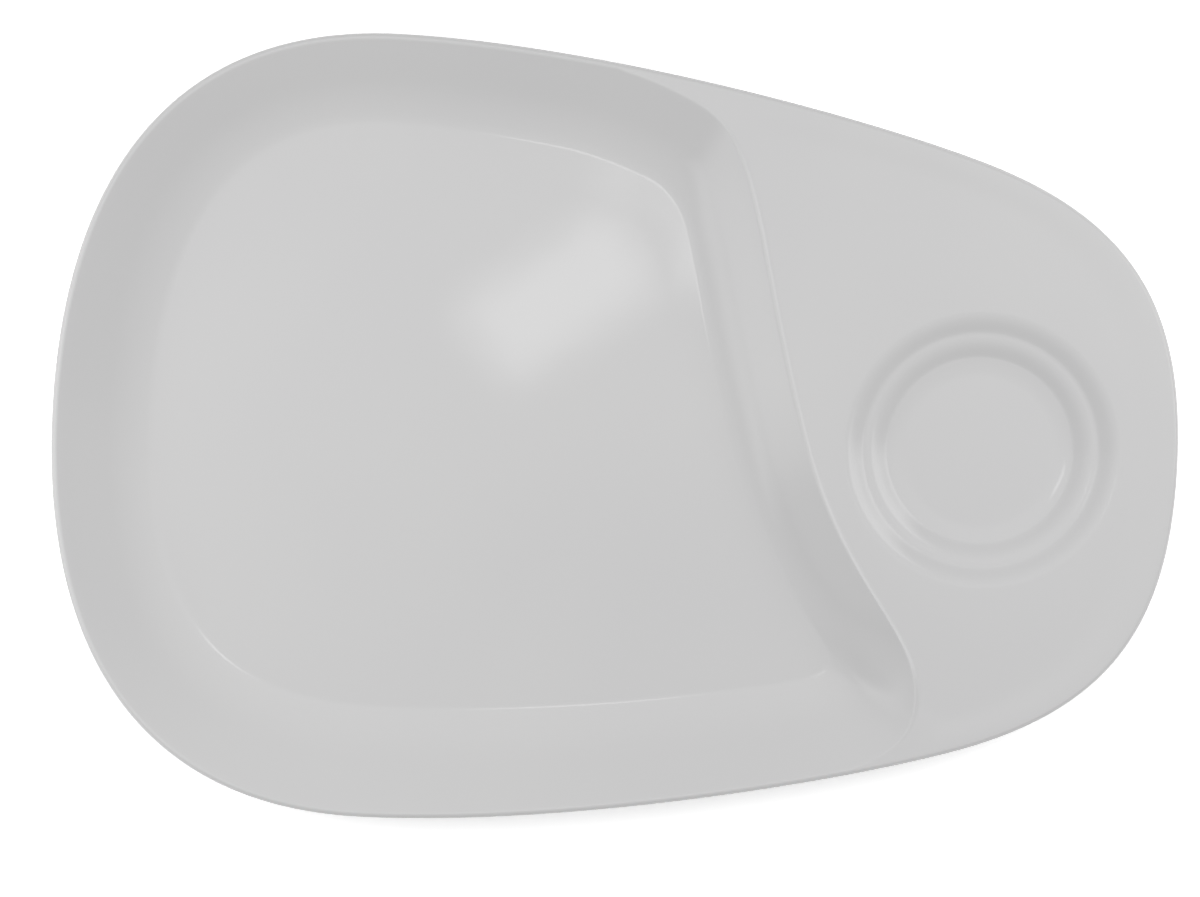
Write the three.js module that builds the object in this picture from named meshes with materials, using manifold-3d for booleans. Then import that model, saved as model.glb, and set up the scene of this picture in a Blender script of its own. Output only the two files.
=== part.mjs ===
// Snack plate in white glazed porcelain. The outline is an egg. A food well fills the broad end, a raised
// deck with a stepped rest for a cup fills the narrow end, and a soft ridge parts the two.
// Millimetres, +Z up. The table is at z = 0 and the origin is under the middle of the plate.
// +X runs along the outline's line of symmetry towards the cup, +Y towards the far side.
import * as THREE from 'three';
import Module from 'manifold-3d';

const radians = THREE.MathUtils.degToRad;

// Outline: overall size, and the points and leads that shape each half of the egg
const plateLength = 300;
const plateWidth = 209;
const widestFromEnd = 87;
const endLead = 65;
const broadLead = 58;
const sideLead = 54;
const flankFromTip = 54.5;
const flankInset = 26.2;
const flankSlope = radians(18.3);
const flankLeadBack = 32;
const flankLeadAhead = 43;
const tipLead = 41;

// Heights and walls
const footHeight = 5.6;
const wall = 4.4;
const lipRadius = 1.4;
const wellDepth = 11;
const deckDrop = 0.4;
const deckWall = 7.6;

// Cup rest: two round steps down into the deck, with a flat margin round them
const cupRestRadius = 37;
const cupMargin = 2.2;
const cupOffAxis = 2;
const stepDepth = 2.3;
const stepSlope = 5.8;
const terraceWidth = 0.7;

// Ridge between the well and the deck, from the far rim over the axis to the near rim
const ridgeHeading = radians(-72);
const ridgeLeadFar = 55;
const ridgeLeadNear = 48;
const ridgeFarBack = 34.5;
const ridgeFarHeading = radians(-37);
const ridgeFarLead = 24;
const ridgeNearAhead = 29;
const ridgeNearHeading = radians(-113);
const ridgeNearLead = 32;
const ridgeTuck = 2.3;
const ridgeBlend = 13;
const ridgeShoulder = 7.2;
const rimShoulder = 11.8;

// Well: how far the walls run in from the rim and from the ridge, and how they are curved. A wall leaves
// the floor at a share of its mean slope. Its cove is sized against the arc that would climb from the floor
// to the crest by itself.
const rimRun = 23.5;
const ridgeRun = 17.5;
const floorOffAxis = 1.6;
const floorTurn = radians(-1.5);
const floorBlend = 18;
const startShare = 0.5;
const coveShare = 1.4;

// Underside: how far its walls stand outside those of the face
const ridgeSpread = 3.5;
const floorSpread = 1.5;

// Foot and glaze
const footInset = 28;
const footWidth = 5.5;
const footBand = 3;
const footRounding = 1;
const glazeThickness = 0.4;
const glazeBond = 0.03;
const glazeLine = 0.4;

// Fineness of the facets
const spokeCount = 84;
const coveSteps = 3;
const crestSteps = 2;
const shoulderSteps = 2;
const lipSteps = 4;
const cupSpokes = 36;
const stepSteps = 4;
const roundingSteps = 2;
const curvePoints = 480;
const leastDeck = 0.3;
const samePlace = 1e-4;

const halfLength = plateLength / 2;
const halfWidth = plateWidth / 2;
const rimZ = footHeight + wall + wellDepth;
const cupReach = cupRestRadius + cupMargin;
const cupCentre = new THREE.Vector2(halfLength - lipRadius - rimShoulder - cupReach, cupOffAxis);
const ridgeX = cupCentre.x - cupReach - ridgeShoulder;
const hub = new THREE.Vector2((ridgeX - halfLength) / 2 + lipRadius + rimRun, 0);

function heading(angle) {
  return new THREE.Vector2(Math.cos(angle), Math.sin(angle));
}

// The egg, clockwise from the middle of the broad end
function eggOutline() {
  const widestX = widestFromEnd - halfLength;
  const flank = new THREE.Vector2(halfLength - flankFromTip, halfWidth - flankInset);
  const along = heading(-flankSlope);
  const back = flank.clone().addScaledVector(along, -flankLeadBack);
  const ahead = flank.clone().addScaledVector(along, flankLeadAhead);
  const path = new THREE.Path();
  path.moveTo(-halfLength, 0);
  path.bezierCurveTo(-halfLength, endLead, widestX - broadLead, halfWidth, widestX, halfWidth);
  path.bezierCurveTo(widestX + sideLead, halfWidth, back.x, back.y, flank.x, flank.y);
  path.bezierCurveTo(ahead.x, ahead.y, halfLength, tipLead, halfLength, 0);
  path.bezierCurveTo(halfLength, -tipLead, ahead.x, -ahead.y, flank.x, -flank.y);
  path.bezierCurveTo(back.x, -back.y, widestX + sideLead, -halfWidth, widestX, -halfWidth);
  path.bezierCurveTo(widestX - broadLead, -halfWidth, -halfLength, -endLead, -halfLength, 0);
  return path;
}

const outline = eggOutline();
const outlinePoints = outline.getSpacedPoints(curvePoints);

// A run of points moved to the right of its direction of travel, which is inwards on the egg
function inset(points, distance) {
  const last = points.length - 1;
  const closed = points[0].distanceTo(points[last]) < samePlace;
  return points.map((point, i) => {
    const before = points[i > 0 ? i - 1 : closed ? last - 1 : 0];
    const after = points[i < last ? i + 1 : closed ? 1 : last];
    const along = after.clone().sub(before).normalize();
    return new THREE.Vector2(point.x + along.y * distance, point.y - along.x * distance);
  });
}

// Half the outline's width at a place along the plate
function halfWidthAt(x) {
  const upper = outlinePoints.slice(0, curvePoints / 2 + 1);
  const i = upper.findIndex((point) => point.x > x);
  const [before, after] = [upper[i - 1], upper[i]];
  return THREE.MathUtils.mapLinear(x, before.x, after.x, before.y, after.y);
}

// The crest of the ridge, run on straight past both rims
function ridgeCurve() {
  const tuck = lipRadius + ridgeTuck;
  const farX = ridgeX - ridgeFarBack;
  const nearX = ridgeX + ridgeNearAhead;
  const far = new THREE.Vector2(farX, halfWidthAt(farX) - tuck);
  const middle = new THREE.Vector2(ridgeX, 0);
  const near = new THREE.Vector2(nearX, tuck - halfWidthAt(nearX));
  const path = new THREE.CurvePath();
  const start = far.clone().addScaledVector(heading(ridgeFarHeading), -plateWidth);
  const end = near.clone().addScaledVector(heading(ridgeNearHeading), plateWidth);
  path.add(new THREE.LineCurve(start, far));
  path.add(new THREE.CubicBezierCurve(
    far,
    far.clone().addScaledVector(heading(ridgeFarHeading), ridgeFarLead),
    middle.clone().addScaledVector(heading(ridgeHeading), -ridgeLeadFar),
    middle,
  ));
  path.add(new THREE.CubicBezierCurve(
    middle,
    middle.clone().addScaledVector(heading(ridgeHeading), ridgeLeadNear),
    near.clone().addScaledVector(heading(ridgeNearHeading), -ridgeNearLead),
    near,
  ));
  path.add(new THREE.LineCurve(near, end));
  return path.getSpacedPoints(curvePoints);
}

// The side of the well's floor that follows the rim
function floorRimLine(spread) {
  const middle = new THREE.Vector2(0, 0);
  return inset(outlinePoints, lipRadius + rimRun - spread).map((point) => {
    const turned = point.clone().rotateAround(middle, floorTurn);
    return turned.setY(turned.y + floorOffAxis);
  });
}

// How far a line of points lies from the hub in one direction
function reach(points, angle) {
  const ray = heading(angle);
  let least = Infinity;
  for (let i = 1; i < points.length; i += 1) {
    const from = points[i - 1].clone().sub(hub);
    const to = points[i].clone().sub(hub);
    const sideFrom = ray.cross(from);
    const sideTo = ray.cross(to);
    if (sideFrom * sideTo <= 0 && sideFrom !== sideTo) {
      const distance = from.lerp(to, sideFrom / (sideFrom - sideTo)).dot(ray);
      if (distance > 0) least = Math.min(least, distance);
    }
  }
  return least;
}

function smoothMin(a, b, blend) {
  const near = Math.max(blend - Math.abs(a - b), 0);
  return Math.min(a, b) - near * near / (4 * blend);
}

// The two surfaces of the shell: the face, and the back a wall's thickness below it
const lipLine = inset(outlinePoints, lipRadius);
const ridgePoints = ridgeCurve();
const face = {
  rimZ,
  deckZ: rimZ - deckDrop,
  floorZ: footHeight + wall,
  ridgeStands: true,
  ridge: ridgePoints,
  floorRim: floorRimLine(0),
  floorSide: inset(ridgePoints, ridgeRun),
};
const back = {
  rimZ: rimZ - wall,
  deckZ: face.deckZ - deckWall,
  floorZ: footHeight,
  ridgeStands: false,
  ridge: inset(ridgePoints, -ridgeSpread),
  floorRim: floorRimLine(floorSpread),
  floorSide: inset(ridgePoints, ridgeRun - floorSpread),
};

// Radii from the hub to the floor's edge, the crest round the well and the lip, the deck's dip below the
// lip, and the wall between floor and crest: a cove, a straight slope and the crest's own rounding
function sectionAt(level, angle) {
  const lip = reach(lipLine, angle);
  const blended = smoothMin(lip, reach(level.ridge, angle), ridgeBlend);
  const crest = lip - blended < leastDeck ? lip : blended;
  const floor = smoothMin(reach(level.floorRim, angle), reach(level.floorSide, angle), floorBlend);
  const share = Math.min((lip - crest) / (ridgeShoulder + rimShoulder), 1);
  const dip = (level.rimZ - level.deckZ) * share ** 2;
  const crestZ = level.ridgeStands ? level.rimZ : level.rimZ - dip;
  const drop = crestZ - level.floorZ;
  const cove = coveShare * ((crest - floor) ** 2 + drop ** 2) / (2 * drop);
  const start = startShare * Math.atan2(drop, crest - floor);
  const rounding = lipRadius + cove;
  const run = crest - floor + cove * Math.sin(start);
  const high = drop - lipRadius - cove * Math.cos(start);
  const straight = Math.sqrt(run ** 2 + high ** 2 - rounding ** 2);
  const slope = Math.atan2(high, run) + Math.atan2(rounding, straight);
  return { lip, crest, floor, share, dip, crestZ, cove, start, slope };
}

function stationsOnWall(level, section) {
  const { crest, floor, crestZ, cove, start, slope } = section;
  const stations = [];
  for (let k = 0; k <= coveSteps; k += 1) {
    const turn = THREE.MathUtils.lerp(start, slope, k / coveSteps);
    const out = cove * (Math.sin(turn) - Math.sin(start));
    const up = cove * (Math.cos(start) - Math.cos(turn));
    stations.push([floor + out, level.floorZ + up]);
  }
  for (let k = crestSteps; k >= 0; k -= 1) {
    const turn = slope * k / crestSteps;
    stations.push([crest - lipRadius * Math.sin(turn), crestZ - lipRadius * (1 - Math.cos(turn))]);
  }
  return stations;
}

// The deck dips from the ridge and from the lip to a flat middle
function stationsOnDeck(level, section) {
  const { lip, crest, share, dip, crestZ } = section;
  const flatZ = level.rimZ - dip;
  const ridgeEnd = crest + ridgeShoulder * share;
  const rimStart = share < 1 ? ridgeEnd : lip - rimShoulder;
  const stations = [];
  for (let k = 1; k <= shoulderSteps; k += 1) {
    const t = k / shoulderSteps;
    const rise = (crestZ - flatZ) * (1 - THREE.MathUtils.smoothstep(t, 0, 1));
    stations.push([THREE.MathUtils.lerp(crest, ridgeEnd, t), flatZ + rise]);
  }
  for (let k = 0; k <= shoulderSteps; k += 1) {
    const t = k / shoulderSteps;
    const rise = dip * THREE.MathUtils.smoothstep(t, 0, 1);
    stations.push([THREE.MathUtils.lerp(rimStart, lip, t), flatZ + rise]);
  }
  return stations;
}

// How deep the cup rest lies below the deck at a distance from its middle
function cupDepthAt(distance) {
  const innerTop = cupRestRadius - stepSlope - terraceWidth;
  const [outer, inner] = [cupRestRadius, innerTop].map((top) => (
    1 - THREE.MathUtils.smoothstep(distance, top - stepSlope, top)
  ));
  return stepDepth * (outer + inner);
}

// Height of one surface, without the cup rest, at any place inside the lip
function heightAt(level, place) {
  const offset = place.clone().sub(hub);
  const section = sectionAt(level, offset.angle());
  const stations = [[0, level.floorZ], ...stationsOnWall(level, section), ...stationsOnDeck(level, section)];
  const radius = offset.length();
  const i = stations.findIndex(([far]) => far > radius);
  const [before, after] = [stations[i - 1], stations[i]];
  return THREE.MathUtils.mapLinear(radius, before[0], after[0], before[1], after[1]);
}

// A closed skin of triangles in which points at one place are one vertex
class Skin {
  points = [];
  triangles = [];
  known = new Map();

  vertex(x, y, z) {
    const key = [x, y, z].map((value) => Math.round(value / samePlace)).join();
    if (!this.known.has(key)) {
      this.known.set(key, this.points.length);
      this.points.push(new THREE.Vector3(x, y, z));
    }
    return this.known.get(key);
  }

  triangle(a, b, c) {
    if (a !== b && b !== c && c !== a) this.triangles.push([a, b, c]);
  }

  // Joins two closed rows of vertices, the second further on from the start of the skin
  strip(row, next) {
    row.forEach((vertex, i) => {
      const j = (i + 1) % row.length;
      this.triangle(vertex, next[j], next[i]);
      this.triangle(vertex, row[j], next[j]);
    });
  }

  strips(rows) {
    for (let i = 1; i < rows.length; i += 1) this.strip(rows[i - 1], rows[i]);
  }

  // The flat area between two rows that part from each other along one stretch
  flat(row, next, hole, up) {
    const parted = row.map((vertex, i) => vertex !== next[i]);
    const first = parted.indexOf(true) - 1;
    const last = parted.lastIndexOf(true) + 1;
    const border = [...row.slice(first, last + 1), ...next.slice(first + 1, last).reverse()];
    const all = [...border, ...hole];
    const flatten = (list) => list.map((i) => new THREE.Vector2(this.points[i].x, this.points[i].y));
    const holes = hole.length > 0 ? [flatten(hole)] : [];
    for (const corners of THREE.ShapeUtils.triangulateShape(flatten(border), holes)) {
      const [a, b, c] = corners.map((i) => all[i]);
      const turn = THREE.ShapeUtils.area(flatten([a, b, c]));
      if (turn > 0 === up) this.triangle(a, b, c);
      else this.triangle(a, c, b);
    }
  }

  // The same points moved inwards along their normals. Each face counts by its angle at the point.
  sunk(depth) {
    const normals = this.points.map(() => new THREE.Vector3());
    for (const corners of this.triangles) {
      const [a, b, c] = corners.map((i) => this.points[i]);
      const normal = THREE.Triangle.getNormal(a, b, c, new THREE.Vector3());
      corners.forEach((i, k) => {
        const ahead = this.points[corners[(k + 1) % 3]].clone().sub(this.points[i]);
        const behind = this.points[corners[(k + 2) % 3]].clone().sub(this.points[i]);
        normals[i].addScaledVector(normal, ahead.angleTo(behind));
      });
    }
    return this.points.map((point, i) => point.clone().addScaledVector(normals[i].normalize(), -depth));
  }
}

const spokePoints = outline.getSpacedPoints(spokeCount).slice(0, spokeCount);
const spokes = spokePoints.map((point) => point.clone().sub(hub).angle());

// Rows of vertices of one surface, from its middle out to the lip
function rowsOf(skin, level) {
  const columns = spokes.map((angle) => {
    const section = sectionAt(level, angle);
    const stations = [[0, level.floorZ], ...stationsOnWall(level, section), ...stationsOnDeck(level, section)];
    return stations.map(([radius, z]) => {
      const place = heading(angle).multiplyScalar(radius).add(hub);
      return skin.vertex(place.x, place.y, z);
    });
  });
  return columns[0].map((_, k) => columns.map((column) => column[k]));
}

// Rows of the cup rest, from its middle out to the deck
function cupRestRows(skin) {
  const radii = [0];
  for (const top of [cupRestRadius - stepSlope - terraceWidth, cupRestRadius]) {
    for (let k = 0; k <= stepSteps; k += 1) radii.push(top - stepSlope * (1 - k / stepSteps));
  }
  return radii.map((radius) => Array.from({ length: cupSpokes }, (_, i) => {
    const place = heading(-2 * Math.PI * i / cupSpokes).multiplyScalar(radius).add(cupCentre);
    return skin.vertex(place.x, place.y, face.deckZ - cupDepthAt(radius));
  }));
}

// Rows round the lip, from the face to the back
function lipRows(skin) {
  const rows = [];
  for (let k = 1; k < lipSteps; k += 1) {
    const turn = Math.PI * k / lipSteps;
    const line = inset(outlinePoints, lipRadius * (1 - Math.sin(turn)));
    const z = rimZ - wall / 2 * (1 - Math.cos(turn));
    rows.push(spokes.map((angle) => {
      const place = heading(angle).multiplyScalar(reach(line, angle)).add(hub);
      return skin.vertex(place.x, place.y, z);
    }));
  }
  return rows;
}

// The whole glazed shell without its foot
function plateSkin() {
  const skin = new Skin();
  const faceRows = rowsOf(skin, face);
  const backRows = rowsOf(skin, back);
  const cupRows = cupRestRows(skin);
  const deckStart = faceRows.length - shoulderSteps - 1;
  skin.strips(faceRows.slice(0, deckStart));
  skin.flat(faceRows[deckStart - 1], faceRows[deckStart], cupRows.at(-1), true);
  skin.strips(cupRows);
  skin.strips([
    ...faceRows.slice(deckStart),
    ...lipRows(skin),
    ...backRows.slice(deckStart).reverse(),
  ]);
  skin.flat(backRows[deckStart - 1], backRows[deckStart], [], false);
  skin.strips(backRows.slice(0, deckStart).reverse());
  return skin;
}

// A ring that follows the outline, from closed rows of points given as insets and heights
function ringSkin(profile) {
  const skin = new Skin();
  const rows = profile.map(([distance, height]) => {
    const line = inset(outline.getSpacedPoints(spokeCount), distance).slice(0, spokeCount);
    return line.map((place) => skin.vertex(place.x, place.y, height(place)));
  });
  skin.strips([...rows, rows[0]]);
  return skin;
}

// The rib that carries the foot, sunk halfway into the shell. It can be grown on both sides.
function ribSkin(grow, bottomZ) {
  const outer = footInset - grow;
  const inner = footInset + footWidth + grow;
  const bottom = () => bottomZ;
  const top = (place) => {
    const faceZ = heightAt(face, place) - cupDepthAt(place.distanceTo(cupCentre));
    return (faceZ + heightAt(back, place)) / 2;
  };
  return ringSkin([[outer, bottom], [inner, bottom], [inner, top], [outer, top]]);
}

// The bare standing ring under the rib, with rounded lower edges
function footSkin() {
  const corners = [];
  for (let k = 0; k <= roundingSteps; k += 1) {
    const turn = Math.PI / 2 * k / roundingSteps;
    const aside = footRounding * (1 - Math.cos(turn));
    const height = footRounding * (1 - Math.sin(turn));
    corners.push([aside, height]);
  }
  const profile = [
    [footInset, () => footBand],
    ...corners.map(([aside, height]) => [footInset + aside, () => height]),
    ...corners.toReversed().map(([aside, height]) => [footInset + footWidth - aside, () => height]),
    [footInset + footWidth, () => footBand],
  ];
  return ringSkin(profile);
}

const wasm = await Module();
wasm.setup();

function solidOf(skin, points = skin.points) {
  return new wasm.Manifold(new wasm.Mesh({
    numProp: 3,
    vertProperties: Float32Array.from(points.flatMap((point) => point.toArray())),
    triVerts: Uint32Array.from(skin.triangles.flat()),
  }));
}

function geometryOf(solid) {
  const mesh = solid.getMesh();
  const geometry = new THREE.BufferGeometry();
  geometry.setAttribute('position', new THREE.BufferAttribute(mesh.vertProperties, 3));
  geometry.setIndex(new THREE.BufferAttribute(mesh.triVerts, 1));
  geometry.computeVertexNormals();
  return geometry;
}

const skin = plateSkin();
const finished = solidOf(skin).add(solidOf(ribSkin(glazeThickness, footBand + glazeLine)));
const glazeBed = solidOf(skin, skin.sunk(glazeThickness)).add(solidOf(ribSkin(glazeBond, footBand)));
const porcelain = solidOf(skin, skin.sunk(glazeThickness + glazeBond)).add(solidOf(ribSkin(0, footBand)));

// The foot parts the glaze into the coat outside it and the coat on the base inside it
const coats = finished.subtract(glazeBed).decompose().sort((a, b) => b.volume() - a.volume());
const [outerCoat, baseCoat] = coats;

const glaze = { color: 0xf1f1ef, roughness: 0.12, metalness: 0 };
const biscuit = { color: 0xe9e5dc, roughness: 0.85, metalness: 0 };
const plate = new THREE.Group();

function addPiece(name, solid, look) {
  const mesh = new THREE.Mesh(geometryOf(solid), new THREE.MeshStandardMaterial(look));
  mesh.name = name;
  plate.add(mesh);
}

addPiece('porcelain_body', porcelain, biscuit);
addPiece('foot_ring', solidOf(footSkin()), biscuit);
addPiece('glaze_coat', outerCoat, glaze);
addPiece('base_glaze', baseCoat, glaze);

export default plate;
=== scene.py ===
import math
from types import SimpleNamespace

import bpy
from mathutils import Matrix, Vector
from mathutils.geometry import interpolate_bezier


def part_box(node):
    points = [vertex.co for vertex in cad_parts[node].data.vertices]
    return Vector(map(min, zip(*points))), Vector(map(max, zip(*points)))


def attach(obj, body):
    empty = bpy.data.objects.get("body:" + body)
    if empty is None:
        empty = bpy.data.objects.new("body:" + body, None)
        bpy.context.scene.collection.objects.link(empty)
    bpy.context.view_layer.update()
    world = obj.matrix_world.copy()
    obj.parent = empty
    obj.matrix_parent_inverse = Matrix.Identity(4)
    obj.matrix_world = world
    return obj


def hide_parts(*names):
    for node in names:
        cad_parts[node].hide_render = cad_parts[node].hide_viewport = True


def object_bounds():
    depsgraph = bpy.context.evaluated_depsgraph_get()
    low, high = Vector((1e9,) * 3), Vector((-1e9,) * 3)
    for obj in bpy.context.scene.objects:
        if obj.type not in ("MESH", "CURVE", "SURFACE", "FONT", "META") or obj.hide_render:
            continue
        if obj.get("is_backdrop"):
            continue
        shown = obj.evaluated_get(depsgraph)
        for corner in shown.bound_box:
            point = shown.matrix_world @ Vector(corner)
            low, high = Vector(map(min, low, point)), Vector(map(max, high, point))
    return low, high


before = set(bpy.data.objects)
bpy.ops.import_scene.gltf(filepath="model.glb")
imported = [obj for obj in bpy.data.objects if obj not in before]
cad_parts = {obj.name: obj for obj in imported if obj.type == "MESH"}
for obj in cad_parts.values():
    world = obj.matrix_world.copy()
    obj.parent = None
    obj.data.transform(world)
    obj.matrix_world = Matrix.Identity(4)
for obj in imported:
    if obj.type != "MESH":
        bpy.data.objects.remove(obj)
cadLow, cadHigh = (list(corner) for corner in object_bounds())
mm = 0.001
print("frame loaded:", len(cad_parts), "nodes")


# A socket of any node tree. Python sums on it add Math nodes, so 1 - mask works.
class Wire:
    def __init__(self, tree, socket):
        self.tree = tree
        self.socket = socket

    def maths(self, operation, *others, clamp=False):
        settings = {"operation": operation, "use_clamp": clamp}
        return addNode(self.tree, "ShaderNodeMath", settings, [self, *others])

    def flipped(self, operation, other):
        return addNode(self.tree, "ShaderNodeMath", {"operation": operation}, [other, self])

    def output(self, name):
        return Wire(self.tree, self.socket.node.outputs[name])

    def __add__(self, other):
        return self.maths("ADD", other)

    def __radd__(self, other):
        return self.maths("ADD", other)

    def __sub__(self, other):
        return self.maths("SUBTRACT", other)

    def __rsub__(self, other):
        return self.flipped("SUBTRACT", other)

    def __mul__(self, other):
        return self.maths("MULTIPLY", other)

    def __rmul__(self, other):
        return self.maths("MULTIPLY", other)

    def __truediv__(self, other):
        return self.maths("DIVIDE", other)

    def __rtruediv__(self, other):
        return self.flipped("DIVIDE", other)

    def __pow__(self, other):
        return self.maths("POWER", other)

    def __lt__(self, other):
        return self.maths("LESS_THAN", other)

    def __gt__(self, other):
        return self.maths("GREATER_THAN", other)

    def __abs__(self):
        return self.maths("ABSOLUTE")

    def sin(self):
        return self.maths("SINE")

    def cos(self):
        return self.maths("COSINE")

    def root(self):
        return self.maths("MAXIMUM", 0).maths("SQRT")

    def atan2(self, other):
        return self.maths("ARCTAN2", other)

    def least(self, other):
        return self.maths("MINIMUM", other)

    def most(self, other):
        return self.maths("MAXIMUM", other)

    def clamped(self):
        return self.maths("ADD", 0, clamp=True)

    def eased(self):
        share = self.clamped()
        return share * share * (3 - 2 * share)


# Any node: its settings are set first, then its sockets, by name or in order.
def addNode(tree, kind, settings=None, sockets=None):
    node = tree.nodes.new(kind)
    for name, value in (settings or {}).items():
        setattr(node, name, value)
    pairs = enumerate(sockets) if isinstance(sockets, list) else (sockets or {}).items()
    for key, value in pairs:
        usable = [socket for socket in node.inputs if socket.enabled]
        socket = usable[key] if isinstance(key, int) else next(s for s in usable if s.name == key)
        for item in value if isinstance(value, list) else [value]:
            if isinstance(item, Wire):
                tree.links.new(item.socket, socket)
            else:
                socket.default_value = item
    outputs = [socket for socket in node.outputs if socket.enabled]
    return Wire(tree, outputs[0]) if outputs else None


# The sizes of the plate's main surfaces.
plateSizes = {
    "halfLength": cadHigh[0],
    "halfWidth": cadHigh[1],
    "rimHeight": cadHigh[2],
    "wall": 4.4 * mm,
    "lipRadius": 1.4 * mm,
    "wellDepth": 11.0 * mm,
    "deckDrop": 0.4 * mm,
    "deckWall": 7.6 * mm,
    "rimRun": 23.5 * mm,          # from the lip's middle to the floor's edge
    "ridgeRun": 17.5 * mm,        # from the divider's crest to the floor's edge
    "ridgeBlend": 13.0 * mm,
    "floorBlend": 18.0 * mm,
    "floorTurn": math.radians(-1.5),
    "floorOffAxis": 1.6 * mm,
    "startShare": 0.5,            # the wall leaves the floor at this share of its mean slope
    "coveShare": 1.4,             # of the arc that would climb from floor to crest by itself
    "creaseReach": 1.7 * mm,      # the crease round the floor is eased this far to both sides
    "ridgeShoulder": 7.2 * mm,
    "ridgeEdge": 1.4 * mm,        # the crest falls to the deck within this
    "rimShoulder": 11.8 * mm,
    "ridgeSpread": 3.5 * mm,      # the underside's divider lies this far under the deck
    "floorSpread": 1.5 * mm,
    "leastDeck": 0.3 * mm,
}

cupRestSizes = {
    "cupRestRadius": 37.0 * mm,
    "cupMargin": 2.2 * mm,
    "cupOffAxis": 2.0 * mm,
    "stepDepth": 2.3 * mm,
    "stepSlope": 5.8 * mm,
    "terraceWidth": 0.7 * mm,
    "stepSkew": 0.72,             # under 1 the steps start sharply at their foot
}

footSizes = {
    "footInset": 28.0 * mm,
    "footWidth": 5.5 * mm,
    "footBand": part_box("foot_ring")[1][2],
    "footRounding": 1.0 * mm,
    "glazeLine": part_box("base_glaze")[0][2],
    "footFillet": 1.2 * mm,
    "glazeThickness": 0.4 * mm,
    "glazeBond": 0.03 * mm,
}

# How finely the surfaces are divided.
meshCounts = {
    "columns": 432,
    "floorRows": 7,
    "creaseRows": 6,
    "coveRows": 10,
    "wallRows": 4,
    "crestRows": 8,
    "shoulderRows": 10,
    "cupColumns": 192,
    "cupFloorRows": 5,
    "stepRows": 13,
    "lipRows": 14,
    "backRows": 20,
    "backCrowding": 1.6,          # above 1 the rows crowd towards the lip
    "filletRows": 4,
    "sideRows": 3,
    "underDeckRows": 8,
    "roundingRows": 5,
    "outlineSteps": 96,           # between two points of the outline
    "ridgeSteps": 128,
    "widthSamples": 200,
}

# Small values that keep the nodes' sums and merges sound.
nodeLimits = {
    "merge": 0.02 * mm,           # points nearer than this become one
    "fence": 2.0 * mm,            # height of the low walls that rays meet
    "rayLength": 10.0,
    "leastRun": 1e-6,             # keeps a division from being by nothing
    "flatShare": 0.9999,          # from this share of its shoulders on, the deck has a flat
}

allSizes = {**plateSizes, **cupRestSizes, **footSizes}
lipRadius = plateSizes["lipRadius"]
cupReach = cupRestSizes["cupRestRadius"] + cupRestSizes["cupMargin"]
cupCentre = Vector((
    plateSizes["halfLength"] - lipRadius - plateSizes["rimShoulder"] - cupReach,
    cupRestSizes["cupOffAxis"],
    0,
))
ridgeX = cupCentre.x - cupReach - plateSizes["ridgeShoulder"]
hubX = (ridgeX - plateSizes["halfLength"]) / 2 + lipRadius + plateSizes["rimRun"]


def heading(degrees):
    return Vector((math.cos(math.radians(degrees)), math.sin(math.radians(degrees)), 0))


# A curve object of one Bezier spline: each point is (place, handle before, handle after).
def bezierObject(name, points, cyclic, resolution):
    data = bpy.data.curves.new(name, "CURVE")
    data.dimensions = "3D"
    spline = data.splines.new("BEZIER")
    spline.bezier_points.add(len(points) - 1)
    spline.use_cyclic_u = cyclic
    spline.resolution_u = resolution
    for knot, (place, before, after) in zip(spline.bezier_points, points):
        knot.handle_left_type = "FREE"
        knot.handle_right_type = "FREE"
        knot.co = place
        knot.handle_left = before
        knot.handle_right = after
    guide = bpy.data.objects.new(name, data)
    bpy.context.scene.collection.objects.link(guide)
    return guide


# The egg outline, clockwise from the broad end.
eggSizes = {
    "widestFromEnd": 87.0 * mm,
    "endLead": 65.0 * mm,
    "broadLead": 58.0 * mm,
    "sideLead": 54.0 * mm,
    "flankFromTip": 54.5 * mm,
    "flankInset": 26.2 * mm,
    "flankSlope": -18.3,          # degrees
    "flankLeadBack": 32.0 * mm,
    "flankLeadAhead": 43.0 * mm,
    "tipLead": 41.0 * mm,
}


def eggPoints():
    egg = SimpleNamespace(**eggSizes)
    length = plateSizes["halfLength"]
    width = plateSizes["halfWidth"]
    widestX = egg.widestFromEnd - length
    along = heading(egg.flankSlope)
    flank = Vector((length - egg.flankFromTip, width - egg.flankInset, 0))
    end = Vector((-length, 0, 0))
    tip = Vector((length, 0, 0))
    upper = [
        (Vector((widestX, width, 0)), Vector((widestX - egg.broadLead, width, 0)),
         Vector((widestX + egg.sideLead, width, 0))),
        (flank, flank - along * egg.flankLeadBack, flank + along * egg.flankLeadAhead),
    ]
    mirror = Vector((1, -1, 1))
    lower = []
    for place, before, after in reversed(upper):
        lower.append((place * mirror, after * mirror, before * mirror))
    endPoint = (end, end - Vector((0, egg.endLead, 0)), end + Vector((0, egg.endLead, 0)))
    tipPoint = (tip, tip + Vector((0, egg.tipLead, 0)), tip - Vector((0, egg.tipLead, 0)))
    return [endPoint, *upper, tipPoint, *lower]


# The egg's half width at a place along its length.
def halfWidthAt(x, points):
    samples = []
    for (start, _, lead), (stop, back, _) in zip(points[:3], points[1:4]):
        samples += interpolate_bezier(start, lead, back, stop, meshCounts["widthSamples"])
    for a, b in zip(samples, samples[1:]):
        if a.x <= x <= b.x and b.x > a.x:
            return a.y + (b.y - a.y) * (x - a.x) / (b.x - a.x)
    return 0


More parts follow.
